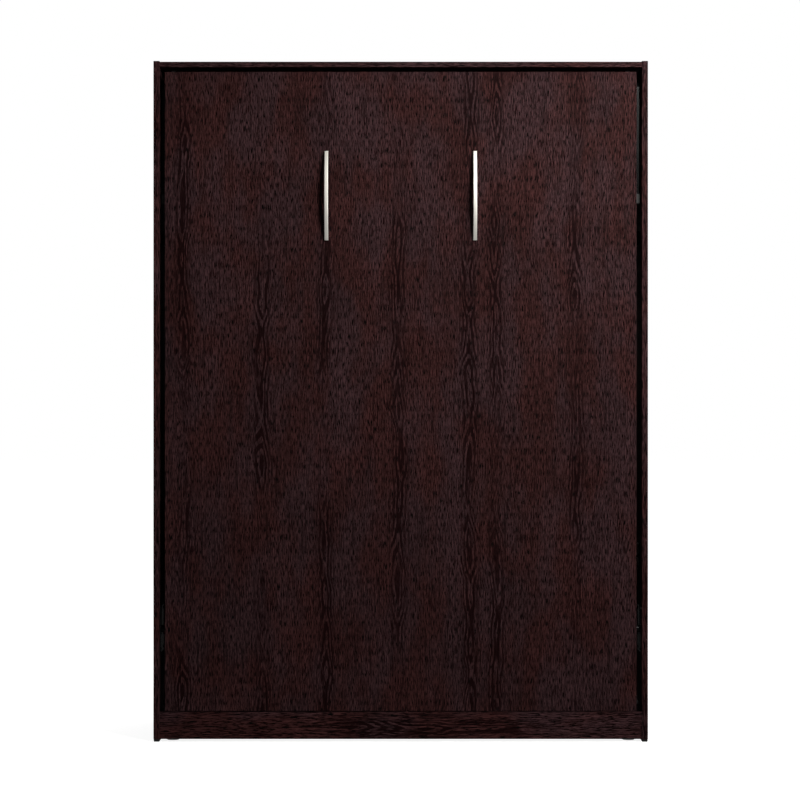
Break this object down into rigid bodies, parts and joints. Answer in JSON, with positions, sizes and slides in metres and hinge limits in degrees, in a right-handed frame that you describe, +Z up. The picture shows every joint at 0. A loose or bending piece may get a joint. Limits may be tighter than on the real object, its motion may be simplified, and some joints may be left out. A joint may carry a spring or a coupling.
{
  "type": "wall bed",
  "caption": "Full-size bed that folds up into a shallow cabinet; its front panel is the underside of the open bed.",
  "frame": {"origin": "on the floor, at the middle of the folded bed's bounding box", "axes": "+X to the right seen from the front, +Y from the front to the wall, +Z up"},
  "size_m": [1.499, 0.48, 2.064],
  "materials": {
    "beech": "lacquered beech plywood",
    "black_plastic": "fine textured black nylon",
    "black_rubber": "matt black rubber",
    "chrome_rod": "ground and chromed rod",
    "dark_laminate": "satin dark espresso wood-grain melamine",
    "frame_paint": "fine matt black powder coat",
    "leg_paint": "fine matt black powder coat",
    "satin_nickel": "satin brushed nickel",
    "strut_paint": "satin black enamel on steel",
    "ticking": "quilted knitted ticking",
    "webbing": "woven black polypropylene webbing",
    "zinc": "bright zinc plate"
  },
  "bodies": {
    "cabinet": {"side_panel_left": "dark_laminate", "side_panel_right": "dark_laminate", "top_panel": "dark_laminate", "kick_board": "dark_laminate", "base_board": "dark_laminate", "upper_wall_rail": "dark_laminate", "headboard_panel": "dark_laminate", "lower_rear_rail": "dark_laminate", "cam_locks": "zinc", "panel_glides": "black_plastic", "foot_inserts": "zinc", "pivot_plate_left": "frame_paint", "pivot_plate_right": "frame_paint", "strut_bracket_left": "frame_paint", "strut_bracket_right": "frame_paint", "stop_brackets": "frame_paint", "stop_bumpers": "black_rubber", "plate_screws": "frame_paint"},
    "bed": {"ball_studs": "frame_paint", "centre_beam": "frame_paint", "cross_bars": "frame_paint", "door_panel": "dark_laminate", "foot_hoop": "frame_paint", "foot_rail": "frame_paint", "frame_bolts": "zinc", "head_hoop": "frame_paint", "head_rail": "frame_paint", "leg_bolts": "frame_paint", "mattress": "ticking", "mattress_straps": "webbing", "pivot_bushes": "black_plastic", "pull_left": "satin_nickel", "pull_right": "satin_nickel", "pull_screws": "zinc", "rail_caps": "black_plastic", "side_rail_left": "frame_paint", "side_rail_right": "frame_paint", "slat_01": "beech", "slat_02": "beech", "slat_03": "beech", "slat_04": "beech", "slat_05": "beech", "slat_06": "beech", "slat_07": "beech", "slat_08": "beech", "slat_09": "beech", "slat_10": "beech", "slat_11": "beech", "slat_12": "beech", "slat_holders": "black_plastic"},
    "levelling_foot_left": {"levelling_foot_left": "zinc"},
    "levelling_foot_right": {"levelling_foot_right": "zinc"},
    "strut_cylinder_left": {"strut_cylinder_left": "strut_paint"},
    "strut_cylinder_right": {"strut_cylinder_right": "strut_paint"},
    "strut_rod_left": {"strut_rod_left": "chrome_rod"},
    "strut_rod_right": {"strut_rod_right": "chrome_rod"},
    "leg_left": {"leg_left": "leg_paint", "leg_boot_left": "black_rubber"},
    "leg_right": {"leg_right": "leg_paint", "leg_boot_right": "black_rubber"}
  },
  "joints": [
    {"name": "bed_fold", "type": "hinge", "parent": "cabinet", "child": "bed", "pos_m": [0, -0.183, 0.34], "axis": [1, 0, 0], "range_deg": [0, 90], "stiffness_Nm_per_rad": 256, "springref_deg": -21.77},
    {"name": "strut_cylinder_left_swing", "type": "hinge", "parent": "cabinet", "child": "strut_cylinder_left", "pos_m": [-0.716, -0.12477, 0.55733], "axis": [1, 0, 0], "range_deg": [0, 45]},
    {"name": "strut_rod_left_swing", "type": "hinge", "parent": "bed", "child": "strut_rod_left", "pos_m": [-0.716, -0.183, 0.115], "axis": [1, 0, 0], "range_deg": [-45, 0]},
    {"name": "leg_left_hang", "type": "hinge", "parent": "bed", "child": "leg_left", "pos_m": [-0.722, -0.17, 1.985], "axis": [1, 0, 0], "range_deg": [-90, 0]},
    {"name": "levelling_foot_left_screw", "type": "slide", "parent": "cabinet", "child": "levelling_foot_left", "axis": [0, 0, 1], "range_m": [-0.008, 0.004]},
    {"name": "strut_cylinder_right_swing", "type": "hinge", "parent": "cabinet", "child": "strut_cylinder_right", "pos_m": [0.716, -0.12477, 0.55733], "axis": [1, 0, 0], "range_deg": [0, 45]},
    {"name": "strut_rod_right_swing", "type": "hinge", "parent": "bed", "child": "strut_rod_right", "pos_m": [0.716, -0.183, 0.115], "axis": [1, 0, 0], "range_deg": [-45, 0]},
    {"name": "leg_right_hang", "type": "hinge", "parent": "bed", "child": "leg_right", "pos_m": [0.722, -0.17, 1.985], "axis": [1, 0, 0], "range_deg": [-90, 0]},
    {"name": "levelling_foot_right_screw", "type": "slide", "parent": "cabinet", "child": "levelling_foot_right", "axis": [0, 0, 1], "range_m": [-0.008, 0.004]}
  ],
  "couplings": [
    {"joint": "strut_cylinder_left_swing", "follows": "bed_fold", "ratio": 0.5},
    {"joint": "strut_rod_left_swing", "follows": "bed_fold", "ratio": -0.5},
    {"joint": "leg_left_hang", "follows": "bed_fold", "ratio": -1},
    {"joint": "strut_cylinder_right_swing", "follows": "bed_fold", "ratio": 0.5},
    {"joint": "strut_rod_right_swing", "follows": "bed_fold", "ratio": -0.5},
    {"joint": "leg_right_hang", "follows": "bed_fold", "ratio": -1}
  ]
}
